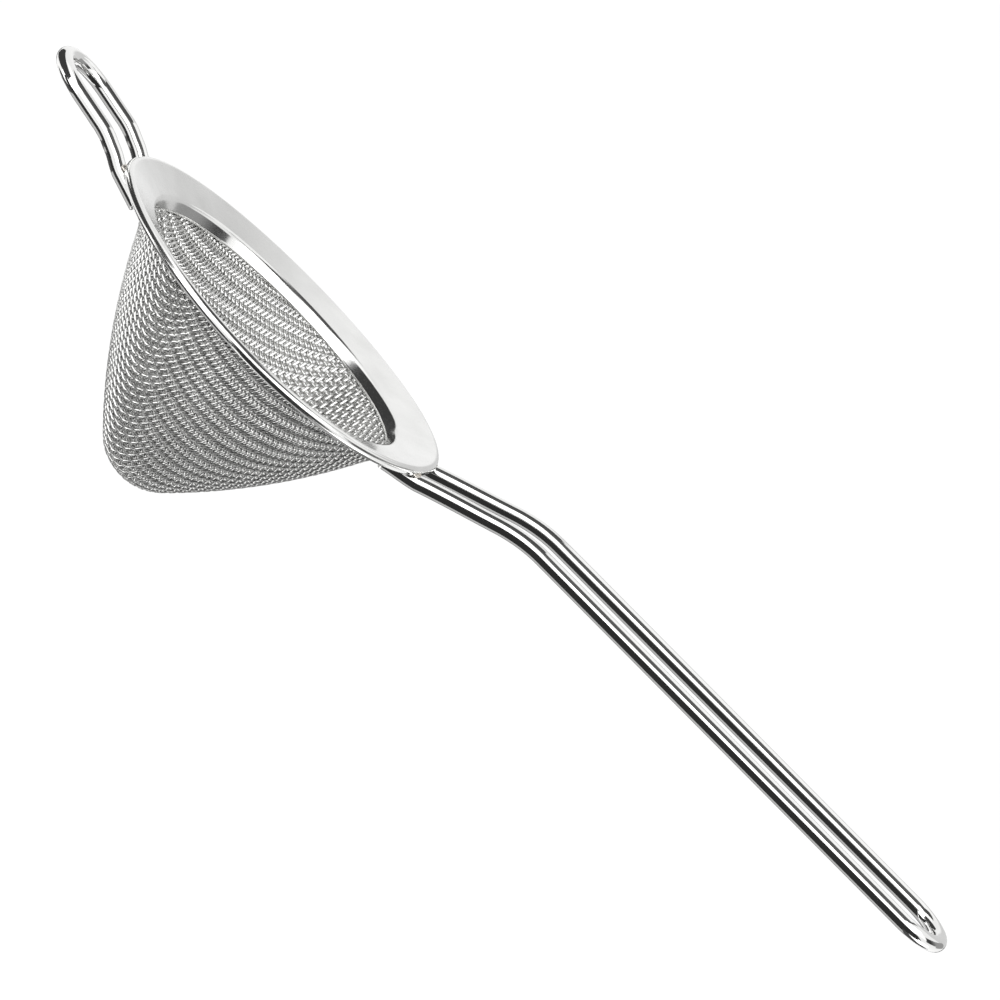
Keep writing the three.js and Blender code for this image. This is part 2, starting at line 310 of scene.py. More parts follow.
def turned(name, profile, wave):
    """A closed profile turned about the axis, with slow waves in the sheet."""
    angle = np.arange(TURN_STEPS) * 2 * math.pi / TURN_STEPS
    count = len(profile)
    lengths = run_along(profile)
    ripple = sum(np.sin(k * angle + WAVE_SHIFT * k * k) / k for k in WAVE_COUNTS)
    r = np.repeat(profile[None, :, 0], TURN_STEPS, 0)
    z = profile[None, :, 1] + wave * ripple[:, None] * np.cos(lengths / WAVE_RUN)[None]
    x = r * np.cos(angle)[:, None]
    y = r * np.sin(angle)[:, None]
    points = np.stack([x, y, z + spring_at(x, y)], 2).reshape(-1, 3)
    turn_of = np.arange(TURN_STEPS)[:, None] * count
    after = np.roll(turn_of, -1, 0)
    here = np.arange(count)[None]
    there = np.roll(here, -1, 1)
    quads = np.stack([turn_of + here, turn_of + there, after + there, after + here], 2).reshape(-1, 4)
    run = np.repeat(angle[:, None] * rim_radius / MM, count, 1)
    uv = np.stack([run, np.repeat(lengths[None] / MM, TURN_STEPS, 0)], 2).reshape(-1, 2)
    return make_piece(name, points, quads, uv)


rim = turned("rim", rim_profile(), WAVE)
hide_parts("rim_flange")
print("rim", len(rim.data.polygons), "faces")

# %% [markdown]
# ## The clamp ring
# The edge of the cloth has to be held somewhere: a flat ring under the flange pinches it, and only a thin
# line of the ring shows below the bead. A flattened cylinder with a hole would do, but the helper that
# turned the rim gives the ring rounded edges, and the slope and the spring of the flange above it.

# %% Turn the clamp ring
RING_SHEET = 0.4 * MM
RING_EDGE_STEPS = 8
RING_SPACING = 0.5 * MM


def ring_profile():
    """The flat ring under the flange, with rounded edges."""
    edge = RING_SHEET / 2
    depth = RIM_SHEET + SEAT_GAP + edge
    inner = corner_at(WALL_RADIUS + CLOTH + SEAT_GAP, RIM_SHEET + SEAT_GAP)[0] + edge
    outer = bead_centre[0] - BEAD_RADIUS - SEAT_GAP - edge
    ends = []
    for r, start in ((inner, FLANGE_SLOPE + math.pi / 2), (outer, FLANGE_SLOPE - math.pi / 2)):
        ends.append(arc((r, under_flange(r, depth)), edge, start, start + math.pi, RING_EDGE_STEPS))
    outline = np.concatenate(ends)
    return dense(np.concatenate([outline, outline[:1]]), RING_SPACING)[:-1]


clamp_ring = turned("clamp_ring", ring_profile(), 0.0)
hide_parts("mesh_clamp_ring")
print("clamp ring", len(clamp_ring.data.polygons), "faces")

# %% [markdown]
# ## How flat cloth becomes a cone
# Wire cloth cannot stretch: when it is pressed into a cone, the crossings stay one pitch apart along both
# wires and only the angle between the wires changes. This is the fishnet model. Two wires run straight
# over the nose, and every other crossing is the fourth corner of a rhombus that lies on the surface.
# Solving corner after corner, outwards from the nose, gives the sheared zones and the chevrons that
# pressed strainers show. A texture could only imitate this, so the net is solved.

# %% The middle surface of the cloth
AXIS_MARGIN = 1e-9
nose_mid = NOSE_RADIUS + CLOTH / 2
wall_mid = WALL_RADIUS + CLOTH / 2
toward_nose = nose_centre - wall_centre
joint_angle = math.atan2(toward_nose[1], toward_nose[0])
joint_radius = nose_centre[0] + nose_mid * math.cos(joint_angle)


def on_cone(xy):
    """Points of the middle surface over points of the ground plan, and the two slopes there."""
    r = np.maximum(np.hypot(xy[..., 0], xy[..., 1]), AXIS_MARGIN)
    on_nose = r < joint_radius
    size = np.where(on_nose, nose_mid, wall_mid)
    off = r - np.where(on_nose, nose_centre[0], wall_centre[0])
    drop = np.sqrt(size ** 2 - off ** 2)
    z = np.where(on_nose, nose_centre[1], wall_centre[1]) - drop
    slope = (off / drop / r)[..., None] * xy
    return np.concatenate([xy, z[..., None]], -1), slope


def outward(slope):
    """Outward normals of the cloth."""
    normal = np.concatenate([slope, np.full_like(slope[..., :1], -1.0)], -1)
    return normal / np.linalg.norm(normal, axis=-1, keepdims=True)


print("nose runs into the wall", round(joint_radius / MM, 1), "mm from the axis")

# %% The two wires over the nose
PITCH = 1.15 * MM
# The blank was pressed a little off its centre: the wires cross at this place of the ground plan.
POLE = np.array([1.3, 0.85]) * MM
CLOTH_TURN = math.radians(66.5)
WAYS = ((1, 0), (0, 1), (-1, 0), (0, -1))
STRAIGHT_ROUNDS = 6
# The net runs on past the edge of the cloth, and its array has room for the longest wire.
PAST_EDGE = 2.5 * PITCH
NET_ROOM = 1.9

net_reach = cone_high.x + PAST_EDGE
net_half = int(NET_ROOM * net_reach / PITCH)
net = np.full((2 * net_half + 1, 2 * net_half + 1, 2), np.nan)
net[net_half, net_half] = POLE


def straight_on(before, here):
    """The next crossing of a wire that runs straight over the surface."""
    start = on_cone(before)[0]
    place, slope = on_cone(here)
    side = np.cross(outward(slope), place - start)
    side /= np.linalg.norm(side)
    after = 2 * here - before
    for _ in range(STRAIGHT_ROUNDS):
        step = on_cone(after)[0] - place
        after = after - side[:2] * (step @ side)
        step = on_cone(after)[0] - place
        after = here + (after - here) * PITCH / np.linalg.norm(step)
    return after


for quarter, (along_i, along_j) in enumerate(WAYS):
    angle = CLOTH_TURN + quarter * math.pi / 2
    line = [POLE, POLE + PITCH * np.array([math.cos(angle), math.sin(angle)])]
    while np.linalg.norm(line[-1]) < net_reach and len(line) < net_half:
        line.append(straight_on(line[-2], line[-1]))
    for k, crossing in enumerate(line[:-1]):
        net[net_half + k * along_i, net_half + k * along_j] = crossing
    print("wire", quarter + 1, "has", len(line) - 1, "crossings from the nose to the rim")

# %% Solve the four quarters of the net
CORNER_ROUNDS = 8


def fourth_corner(a, b, guess):
    """Points of the surface that lie one pitch from two others."""
    a, b = on_cone(a)[0], on_cone(b)[0]
    for _ in range(CORNER_ROUNDS):
        p, slope = on_cone(guess)
        miss_a = np.sum((p - a) ** 2, -1) - PITCH ** 2
        miss_b = np.sum((p - b) ** 2, -1) - PITCH ** 2
        turn_a = 2 * ((p - a)[:, :2] + (p - a)[:, 2:] * slope)
        turn_b = 2 * ((p - b)[:, :2] + (p - b)[:, 2:] * slope)
        det = turn_a[:, 0] * turn_b[:, 1] - turn_a[:, 1] * turn_b[:, 0]
        dx = (miss_a * turn_b[:, 1] - miss_b * turn_a[:, 1]) / det
        dy = (miss_b * turn_a[:, 0] - miss_a * turn_b[:, 0]) / det
        guess = guess - np.stack([dx, dy], -1)
    return guess


for si, sj in ((1, 1), (1, -1), (-1, 1), (-1, -1)):
    for diagonal in range(2, 2 * net_half):
        i = np.arange(max(1, diagonal - net_half), min(net_half, diagonal - 1) + 1)
        j = diagonal - i
        i, j = net_half + si * i, net_half + sj * j
        known = ~np.isnan(net[i - si, j, 0]) & ~np.isnan(net[i, j - sj, 0])
        i, j = i[known], j[known]
        if len(i) == 0:
            continue
        a, b, c = net[i - si, j], net[i, j - sj], net[i - si, j - sj]
        corner = fourth_corner(a, b, a + b - c)
        inside = np.linalg.norm(corner, axis=1) < net_reach
        net[i[inside], j[inside]] = corner[inside]
print("net of", int(np.sum(~np.isnan(net[..., 0]))), "crossings")

# %% [markdown]
# ## Weaving the wires
# The slanting ribs on this cloth show a twill: each wire passes over two crossings and under one, and the
# next wire does the same one step on. So a wire is a smooth line through its crossings, lifted to one side
# of the cloth by half a wire and then to the other. The wires are thick for their pitch, and this is why
# hardly any light comes through. Towards the rim the cloth moves out a little, to pass behind the lip.

# %% Crossings of the cloth
WIRE = 0.68 * MM
# Below the hem the weave lies this far inside the middle surface, so that its outer side keeps the size.
CLOTH_SHIFT = -0.34 * MM
HEM = 3.0 * MM
# No crossing lies quite true.
PLACE_ERROR = 0.012 * MM
PLACE_SEED = 7

place, slope = on_cone(net)
normal = outward(slope)
behind_lip = eased((place[..., 2:] - rim_low.z + HEM) / HEM)
rng = np.random.default_rng(PLACE_SEED)
place = place + normal * CLOTH_SHIFT * (1 - behind_lip) + rng.normal(0.0, PLACE_ERROR, place.shape)
over_two = np.add.outer(np.arange(len(net)), np.arange(len(net))) % 3 < 2
height = np.where(over_two, WIRE / 2, -WIRE / 2)
print("crossings under the rim:", int(np.sum(place[..., 2] < cone_high.z)))

# %% Centre lines through the crossings
STEPS_PER_PITCH = 5
LEAST_CROSSINGS = 4


def wire_lines(place, normal, height):
    """Centre lines of one wire through its crossings, as far as the top of the cloth, with normals."""
    before = np.concatenate([2 * place[:1] - place[1:2], place[:-1]])
    after = np.concatenate([place[1:], 2 * place[-1:] - place[-2:-1]])
    slope = (after - before) / 2
    t = (np.arange(STEPS_PER_PITCH) / STEPS_PER_PITCH)[None, :, None]
    p0, p1, m0, m1 = (v[:, None] for v in (place[:-1], place[1:], slope[:-1], slope[1:]))
    line = (2 * t ** 3 - 3 * t ** 2 + 1) * p0 + (t ** 3 - 2 * t ** 2 + t) * m0
    line = (line + (3 * t ** 2 - 2 * t ** 3) * p1 + (t ** 3 - t ** 2) * m1).reshape(-1, 3)
    over = (normal[:-1, None] * (1 - t) + normal[1:, None] * t).reshape(-1, 3)
    over /= np.linalg.norm(over, axis=1)[:, None]
    rise = (height[:-1, None] + np.diff(height)[:, None] * eased(t[..., 0])).ravel()
    below = np.flatnonzero(line[:, 2] < cone_high.z)
    line = line + over * rise[:, None]
    runs = np.split(below, np.flatnonzero(np.diff(below) > 1) + 1)
    return [(line[run], over[run]) for run in runs if len(run) > 2 * STEPS_PER_PITCH]


def wires_of(place, normal, height):
    """All wires that run along the second direction of the net."""
    wires = []
    for row in range(len(place)):
        good = np.flatnonzero(~np.isnan(place[row, :, 0]))
        if len(good) >= LEAST_CROSSINGS:
            wires += wire_lines(place[row, good], normal[row, good], height[row, good])
    return wires


weft = wires_of(place, normal, height)
warp = wires_of(place.swapaxes(0, 1), normal.swapaxes(0, 1), -height.T)
print("weft of", len(weft), "wires, warp of", len(warp))

# %% Tubes round a line
def tube(line, normal, radius, sides):
    """Rings of points round a line, starting from a side direction."""
    tangent = np.gradient(line, axis=0)
    tangent /= np.linalg.norm(tangent, axis=1)[:, None]
    side = np.cross(tangent, normal)
    side /= np.linalg.norm(side, axis=1)[:, None]
    over = np.cross(side, tangent)
    angle = np.arange(sides) * 2 * math.pi / sides
    return line[:, None] + radius * (
        np.cos(angle)[None, :, None] * over[:, None] + np.sin(angle)[None, :, None] * side[:, None]
    )


def tube_faces(rings, sides):
    """Faces between the rings of a tube, and its two end caps."""
    ring = np.arange(rings - 1)[:, None] * sides
    here = np.arange(sides)[None]
    there = np.roll(here, -1, 1)
    quads = np.stack([ring + here, ring + there, ring + sides + there, ring + sides + here], 2)
    return quads.reshape(-1, 4), [np.arange(sides)[::-1], np.arange(sides) + (rings - 1) * sides]


# %% Weave the pieces
WIRE_SIDES = 8
PIECES_PER_WAY = 3
# Wires lie this many millimetres apart in the UV map, so that no two share their marks.
WIRE_APART = 7.3


def woven_piece(name, wires):
    """One mesh that holds many wires."""
    points, quads, caps, uv, base = [], [], [], [], 0
    for number, (line, normal) in enumerate(wires):
        faces, ends = tube_faces(len(line), WIRE_SIDES)
        points.append(tube(line, normal, WIRE / 2, WIRE_SIDES).reshape(-1, 3))
        quads.append(faces + base)
        caps.extend(end + base for end in ends)
        along = np.repeat(np.arange(len(line)) * PITCH / STEPS_PER_PITCH / MM, WIRE_SIDES)
        uv.append(np.stack([along, np.full(len(along), number * WIRE_APART)], 1))
        base += len(line) * WIRE_SIDES
    piece = make_piece(name, np.concatenate(points), np.concatenate(quads), np.concatenate(uv), caps)
    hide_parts("mesh_cone")
    print(name, len(wires), "wires,", len(piece.data.polygons), "faces")
    return piece


cloth_pieces = []
for label, wires in (("weft", weft), ("warp", warp)):
    ends = np.linspace(0, len(wires), PIECES_PER_WAY + 1).astype(int)
    for k in range(PIECES_PER_WAY):
        cloth_pieces.append(woven_piece(f"{label}_{k + 1}", wires[ends[k]:ends[k + 1]]))

# %% [markdown]
# ## The rods
# Each rod runs as a tail under the flange, bends up past the rolled edge, bends again at a knee and ends in
# a half turn that brings it back as the second leg. A bevelled curve would do, but a swept mesh allows
# square-cut ends with a fine chamfer and a UV map along the rod.

# %% The path of a bent rod
ROD_RADIUS = 1.6 * MM
TAIL_BEND = 8 * MM
BEND_STEPS = 24
LOOP_STEPS = 48
ROD_SPACING = 1.0 * MM
# The radius of the solid model's bead, under which the legs are seated.
SEAT_RADIUS = 0.7 * MM
# At the rim the dressed rods lie this much higher than the solid ones, close under the flange.
ROD_SPRING = 0.65 * MM

seat_centre = np.array([rim_radius - SEAT_RADIUS, -SEAT_RADIUS])


def leg_height(spacing):
    """Where a leg crosses under the bead: distance from the axis along X, and height."""
    x = math.sqrt(seat_centre[0] ** 2 - (spacing / 2) ** 2)
    z = seat_centre[1] - (SEAT_RADIUS + SEAT_GAP + ROD_RADIUS) / math.cos(FLANGE_SLOPE)
    return x, z


def rod_path(node, spacing, rise, lift, slope, knee, tuck, tail, reach):
    """Points along one bent rod, drawn towards +X.

    From the rim's edge the rod climbs at the angle rise to the height lift, bends there with the radius
    knee, and goes on at the angle slope. Against the solid rod the tail's end is higher by tuck and
    longer by tail, and the loop is longer by reach.
    """
    low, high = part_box(node)
    near, far = sorted((abs(low.x), abs(high.x)))
    near -= tail
    far += reach
    y = spacing / 2
    x, z = leg_height(spacing)
    tan = math.tan(FLANGE_SLOPE)
    start_x = near + ROD_RADIUS * math.sin(FLANGE_SLOPE)
    bend = np.array([rim_radius, z + (rim_radius - x) * tan])
    knee_x = bend[0] + (lift - bend[1]) / math.tan(rise)
    along = np.array([math.cos(slope), math.sin(slope)])
    end = np.array([knee_x, lift]) + along * ((far - ROD_RADIUS - knee_x) / along[0] - y)
    corners = [(start_x, z - (x - start_x) * tan), bend, (knee_x, lift), end]
    leg = dense(rounded(corners, [TAIL_BEND, knee], BEND_STEPS), ROD_SPACING)
    right = np.stack([leg[:, 0], np.full(len(leg), -y), leg[:, 1]], 1)
    angle = np.linspace(0, math.pi, LOOP_STEPS + 1)[1:-1]
    out = y * np.sin(angle)
    half = np.stack([end[0] + out * along[0], -y * np.cos(angle), end[1] + out * along[1]], 1)
    left = right[::-1] * [1, -1, 1]
    path = np.concatenate([right, half, left])
    path[:, 2] += ROD_SPRING * eased((knee_x - path[:, 0]) / (knee_x - bend[0]))
    path[:, 2] += tuck * eased((bend[0] - path[:, 0]) / (bend[0] - start_x))
    return path


# %% Paths of the handle and the rest
HANDLE_SPACING = 15.9 * MM
REST_SPACING = 17.4 * MM
# The left leg of the handle lies this much higher than the right one, from a little past the rim.
LEAN = 0.34 * MM
LEAN_RUN = 30 * MM

handle_path = rod_path(
    "handle_rod", HANDLE_SPACING, rise=math.radians(21.1), lift=5.0 * MM, slope=math.radians(1.4),
    knee=30 * MM, tuck=0.5 * MM, tail=0.7 * MM, reach=0.7 * MM,
)
rest_path = rod_path(
    "rest_rod", REST_SPACING, rise=math.radians(38), lift=0.5 * MM, slope=math.radians(9.7),
    knee=14 * MM, tuck=0.0, tail=0.8 * MM, reach=-0.5 * MM,
) * [-1, -1, 1]
past_rim = eased((handle_path[:, 0] - rim_radius) / LEAN_RUN)
handle_path[:, 2] += LEAN * past_rim * (0.5 + handle_path[:, 1] / HANDLE_SPACING)
print("handle path of", len(handle_path), "points, rest path of", len(rest_path))

# %% Sweep the rods
ROD_SIDES = 40
END_CHAMFER = 0.2 * MM


def swept_rod(name, node, path):
    """A round rod with square-cut, lightly chamfered ends."""
    tangent = np.gradient(path, axis=0)
    tangent /= np.linalg.norm(tangent, axis=1)[:, None]
    normal = np.empty_like(path)
    normal[0] = np.cross(tangent[0], (0, 1, 0))
    for k in range(1, len(path)):
        normal[k] = normal[k - 1] - tangent[k] * (normal[k - 1] @ tangent[k])
        normal[k] /= np.linalg.norm(normal[k])
    after_start = path[:1] + tangent[:1] * END_CHAMFER
    before_end = path[-1:] - tangent[-1:] * END_CHAMFER
    path = np.concatenate([path[:1], after_start, path[1:-1], before_end, path[-1:]])
    normal = np.concatenate([normal[:1], normal, normal[-1:]])
    rings = tube(path, normal, ROD_RADIUS, ROD_SIDES)
    for ring in (0, -1):
        rings[ring] = path[ring] + (rings[ring] - path[ring]) * (1 - END_CHAMFER / ROD_RADIUS)
    quads, caps = tube_faces(len(path), ROD_SIDES)
    run = run_along(path) / MM
    around = np.arange(ROD_SIDES) * 2 * math.pi * ROD_RADIUS / ROD_SIDES / MM
    uv = np.stack(np.broadcast_arrays(run[:, None], around[None]), 2).reshape(-1, 2)
    piece = make_piece(name, rings.reshape(-1, 3), quads, uv, caps)
    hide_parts(node)
    print(name, "runs", round(run[-1], 1), "mm")
    return piece


handle = swept_rod("handle", "handle_rod", handle_path)
rest = swept_rod("rest", "rest_rod", rest_path)

# %% [markdown]
# ## The welds
# Each leg is spot welded where it passes under the rolled edge. The metal there has run a little, so a
# weld is a lump that swells out between rod and bead. It could be sculpted, but a ball that is flattened
# along the slope of the flange, with a few slow sine waves to keep it from looking turned, does as well.

# %% Form the weld lumps
WELD_ALONG = 1.3 * MM
WELD_ACROSS = 1.5 * MM
WELD_HIGH = 0.9 * MM
WELD_ROWS = 24
WELD_TURNS = 40
# Shares by which the slow and the quick waves swell the ball.
SLOW_SWELL = 0.06
QUICK_SWELL = 0.04


def ball_faces(top, bottom):
    """Faces of a ball made of rows of points, and the triangles round its two poles."""
    quads = []
    for row in range(WELD_ROWS - 2):
        here = row * WELD_TURNS
        below = here + WELD_TURNS
        for t in range(WELD_TURNS):
            n = (t + 1) % WELD_TURNS
            quads.append((here + t, below + t, below + n, here + n))
    last = (WELD_ROWS - 2) * WELD_TURNS
    caps = [(top, t, (t + 1) % WELD_TURNS) for t in range(WELD_TURNS)]
    caps += [(bottom, last + (t + 1) % WELD_TURNS, last + t) for t in range(WELD_TURNS)]
    return quads, caps


def weld_lump(node, spacing, towards, side):
    """One lump of weld metal between a leg and the rolled edge."""
    v = np.linspace(0, math.pi, WELD_ROWS + 1)[1:-1, None]
    u = np.arange(WELD_TURNS)[None] * 2 * math.pi / WELD_TURNS
    rows = np.broadcast_arrays(np.sin(v) * np.cos(u), np.sin(v) * np.sin(u), np.cos(v))
    ball = np.concatenate([np.stack(rows, 2).reshape(-1, 3), [(0, 0, 1), (0, 0, -1)]])
    slow = np.sin(5 * ball[:, 0] + 2 * side) * np.sin(4 * ball[:, 1] + towards)
    quick = np.sin(9 * ball[:, 2])
    swell = 1 + SLOW_SWELL * slow + QUICK_SWELL * quick
    ball = ball * swell[:, None] * [WELD_ALONG, WELD_ACROSS, WELD_HIGH]
    ball = ball @ np.array(Matrix.Rotation(-FLANGE_SLOPE, 3, "Y")).T
    x, _ = leg_height(spacing)
    lower = SEAT_RADIUS + SEAT_GAP / 2
    place = np.array([
        x + lower * math.sin(FLANGE_SLOPE), spacing / 2, seat_centre[1] - lower * math.cos(FLANGE_SLOPE),
    ])
    points = (ball + place) * [towards, side, 1]
    quads, caps = ball_faces(len(ball) - 2, len(ball) - 1)
    if towards * side < 0:
        quads = [q[::-1] for q in quads]
        caps = [c[::-1] for c in caps]
    piece = make_piece(node.replace("weld", "weld_lump"), points, quads, points[:, :2] / MM, caps)
    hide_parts(node)
    return piece


welds = []
for loop, spacing, towards in (("handle", HANDLE_SPACING, 1), ("rest", REST_SPACING, -1)):
    for hand, side in (("right", -1), ("left", 1)):
        welds.append(weld_lump(f"weld_{loop}_{hand}", spacing, towards, side))
print("welds:", [piece.name for piece in welds])

# %% [markdown]
# ## The finishes
# Stainless steel has almost no colour of its own: what the eye reads is how sharp or soft its reflections
# are. So every finish here is a metal whose roughness changes a little over the surface: polishing lines
# along the rods, faint turning marks and finger haze on the rim, wires of slightly different brightness,
# and the straw tint that welding leaves. One even metal for all pieces would look like grey paint.

# %% Node helpers
def new_metal(name, color, roughness):
    """A material with one metal shader, and its node tree."""
    material = bpy.data.materials.new(name)
    material.use_nodes = True
    tree = material.node_tree
    shader = tree.nodes["Principled BSDF"]
    shader.inputs["Metallic"].default_value = 1.0
    shader.inputs["Base Color"].default_value = (*color, 1.0)
    shader.inputs["Roughness"].default_value = roughness
    return material, tree, shader


def add(tree, kind, **values):
    """A new node with some of its inputs set."""
    node = tree.nodes.new(kind)
    for key, value in values.items():
        node.inputs[key.replace("_", " ")].default_value = value
    return node


def marks(tree, source, stretch, scale, detail=4.0):
    """Noise stretched along one direction of a coordinate."""
    coords = tree.nodes.new("ShaderNodeTexCoord")
    mapping = tree.nodes.new("ShaderNodeMapping")
    mapping.inputs["Scale"].default_value = stretch
    noise = add(tree, "ShaderNodeTexNoise", Scale=scale, Detail=detail)
    tree.links.new(coords.outputs[source], mapping.inputs["Vector"])
    tree.links.new(mapping.outputs["Vector"], noise.inputs["Vector"])
    return noise.outputs["Fac"]


def spread(tree, value, low, high, least=0.3, most=0.7):
    """Maps the range least to most, by default the middle of a noise, onto the range low to high."""
    node = tree.nodes.new("ShaderNodeMapRange")
    for key, number in (("From Min", least), ("From Max", most), ("To Min", low), ("To Max", high)):
        node.inputs[key].default_value = number
    tree.links.new(value, node.inputs["Value"])
    return node.outputs["Result"]


def tinted(tree, value, dark, light):
    """A colour between two ends, steered by a value from 0 to 1."""
    ramp = tree.nodes.new("ShaderNodeValToRGB")
    ramp.color_ramp.elements[0].color = (*dark, 1.0)
    ramp.color_ramp.elements[1].color = (*light, 1.0)
    tree.links.new(value, ramp.inputs["Fac"])
    return ramp.outputs["Color"]


def relief(tree, shader, value, depth, strength):
    """A fine bump on the shader's normal."""
    bump = add(tree, "ShaderNodeBump", Strength=strength, Distance=depth)
    tree.links.new(value, bump.inputs["Height"])
    tree.links.new(bump.outputs["Normal"], shader.inputs["Normal"])


# %% Finishes of rim and cloth
EVEN = (1, 1, 1)


def rim_finish():
    """Bright sheet with finger haze, faint stains and turning marks that run round it."""
    material, tree, shader = new_metal("stamped_rim_steel", (0.82, 0.82, 0.81), 0.14)
    haze = marks(tree, "Object", EVEN, 60.0)
    tree.links.new(spread(tree, haze, 0.10, 0.20), shader.inputs["Roughness"])
    stains = marks(tree, "Object", EVEN, 140.0)
    tone = tinted(tree, spread(tree, stains, 0.0, 1.0), (0.76, 0.76, 0.75), (0.84, 0.84, 0.83))
    tree.links.new(tone, shader.inputs["Base Color"])
    turning = marks(tree, "UV", (0.02, 9.0, 1.0), 1.0, 2.0)
    relief(tree, shader, turning, depth=0.004 * MM, strength=0.25)
    return material


def wire_finish():
    """Drawn wire: its brightness changes slowly along each wire, its roughness quickly."""
    material, tree, shader = new_metal("drawn_wire_steel", (0.80, 0.80, 0.78), 0.2)
    tone = marks(tree, "UV", (0.15, 1.0, 1.0), 1.0, 2.0)
    color = tinted(tree, spread(tree, tone, 0.0, 1.0), (0.58, 0.58, 0.57), (0.76, 0.76, 0.75))
    tree.links.new(color, shader.inputs["Base Color"])
    drawing = marks(tree, "UV", (6.0, 1.0, 1.0), 1.0, 3.0)
    tree.links.new(spread(tree, drawing, 0.20, 0.30), shader.inputs["Roughness"])
    return material


def dress(material, *pieces):
    """Gives some pieces one finish."""
    for piece in pieces:
        piece.data.materials.append(material)
    print(material.name, "on", [piece.name for piece in pieces])


dress(rim_finish(), rim, clamp_ring)
dress(wire_finish(), *cloth_pieces)

# %% Finishes of rods and welds
def rod_finish():
    """Mirror polish with fine lines along the rod."""
    material, tree, shader = new_metal("polished_rod_steel", (0.84, 0.84, 0.83), 0.07)
    lines = marks(tree, "UV", (0.04, 6.0, 1.0), 1.0, 3.0)
    tree.links.new(spread(tree, lines, 0.045, 0.10), shader.inputs["Roughness"])
    relief(tree, shader, lines, depth=0.003 * MM, strength=0.2)
    return material


def weld_finish():
    """Bare weld metal in patches: where it is tinted it is rough too."""
    material, tree, shader = new_metal("heat_tinted_weld", (0.70, 0.68, 0.64), 0.25)
    patches = marks(tree, "Object", EVEN, 900.0)
    color = tinted(tree, spread(tree, patches, 0.0, 1.0), (0.50, 0.46, 0.40), (0.78, 0.77, 0.75))
    tree.links.new(color, shader.inputs["Base Color"])
    tree.links.new(spread(tree, patches, 0.38, 0.18), shader.inputs["Roughness"])
    relief(tree, shader, patches, depth=0.05 * MM, strength=0.4)
    return material


dress(rod_finish(), handle, rest)
dress(weld_finish(), *welds)

# %% [markdown]
# ## Floor and room
# The tool hangs in a white studio. A floor and a room that simply shone white would flood it with light.
# So they are white only to rays from the camera, from a mirror or through glass, and the steel shows the
# white that the eye sees. To all other light the room is a soft grey and the floor is plain pale paint.
# A Light Path node tells the two kinds of ray apart.

# %% Floor
FLOOR_DROP = 500 * MM
FLOOR_HALF = 30.0
FLOOR_PAINT = 0.95
# With the light that falls on it, the floor needs this much glow of its own to look white.
FLOOR_FILL = 0.66
PAINT_ROUGHNESS = 0.9


def flat_sheet(name, corners, color):
    """A flat sheet of the studio, not part of the tool, and its shader."""
    mesh = bpy.data.meshes.new(name)
    mesh.from_pydata(corners, [], [(0, 1, 2, 3)])
    sheet = bpy.data.objects.new(name, mesh)
    bpy.context.scene.collection.objects.link(sheet)
    material = bpy.data.materials.new(name + "_paint")
    material.use_nodes = True
    shader = material.node_tree.nodes["Principled BSDF"]
    shader.inputs["Base Color"].default_value = (color, color, color, 1.0)
    shader.inputs["Roughness"].default_value = PAINT_ROUGHNESS
    shader.inputs["Specular IOR Level"].default_value = 0.0
    mesh.materials.append(material)
    return sheet, material.node_tree, shader


def seen_directly(tree):
    """A value of 1 for rays from the camera, from a mirror or through glass, and 0 for other light."""
    rays = tree.nodes.new("ShaderNodeLightPath")
    seen = rays.outputs["Is Camera Ray"]
    for ray in ("Is Glossy Ray", "Is Transmission Ray"):
        larger = tree.nodes.new("ShaderNodeMath")
        larger.operation = "MAXIMUM"
        tree.links.new(seen, larger.inputs[0])
        tree.links.new(rays.outputs[ray], larger.inputs[1])
        seen = larger.outputs["Value"]
    return seen


floor_z = cad_box[0].z - FLOOR_DROP
_, tree, shader = flat_sheet("floor", [
    (-FLOOR_HALF, -FLOOR_HALF, floor_z), (FLOOR_HALF, -FLOOR_HALF, floor_z),
    (FLOOR_HALF, FLOOR_HALF, floor_z), (-FLOOR_HALF, FLOOR_HALF, floor_z),
], FLOOR_PAINT)
shader.inputs["Emission Color"].default_value = (FLOOR_FILL, FLOOR_FILL, FLOOR_FILL, 1.0)
tree.links.new(seen_directly(tree), shader.inputs["Emission Strength"])
print("floor at", round(floor_z / MM), "mm")

# %% Room
ROOM = 0.38

world = bpy.data.worlds.new("soft_room")
bpy.context.scene.world = world
world.use_nodes = True
tree = world.node_tree
room = tree.nodes["Background"]
room.inputs["Color"].default_value = (ROOM, ROOM, ROOM, 1.0)
room.inputs["Strength"].default_value = 1.0
white = add(tree, "ShaderNodeBackground", Color=(1.0, 1.0, 1.0, 1.0), Strength=1.0)
choice = tree.nodes.new("ShaderNodeMixShader")
tree.links.new(seen_directly(tree), choice.inputs["Fac"])
tree.links.new(room.outputs["Background"], choice.inputs[1])
tree.links.new(white.outputs["Background"], choice.inputs[2])
tree.links.new(choice.outputs["Shader"], tree.nodes["World Output"].inputs["Surface"])
print("room of", ROOM)

# %% [markdown]
# ## Cards
# A polished tool looks like what it mirrors, so a photographer hangs black, grey and white cards round it,
# outside the picture, to draw stripes on the metal. These cards are seen by reflections alone: the camera
# doesn't see them and they cast no shadow. Rods that lie along X mirror only what hangs near their own
# x, so the handle and the rest have cards of their own. Places are in metres in the tool's own frame.

# %% Card helpers
def card(name, corners, shade):
    """A sheet that only reflections see."""
    sheet, _, shader = flat_sheet(name, corners, 0.0)
    shader.inputs["Emission Color"].default_value = (shade, shade, shade, 1.0)
    shader.inputs["Emission Strength"].default_value = 1.0
    sheet.visible_camera = False
    sheet.visible_diffuse = False
    sheet.visible_shadow = False
    print(name, "shade", shade)
    return sheet


def long_card(name, x_low, x_high, first, second, shade):
    """A card stretched along X between two lines given as (y, z)."""
    return card(name, [(x_low, *first), (x_high, *first), (x_high, *second), (x_low, *second)], shade)


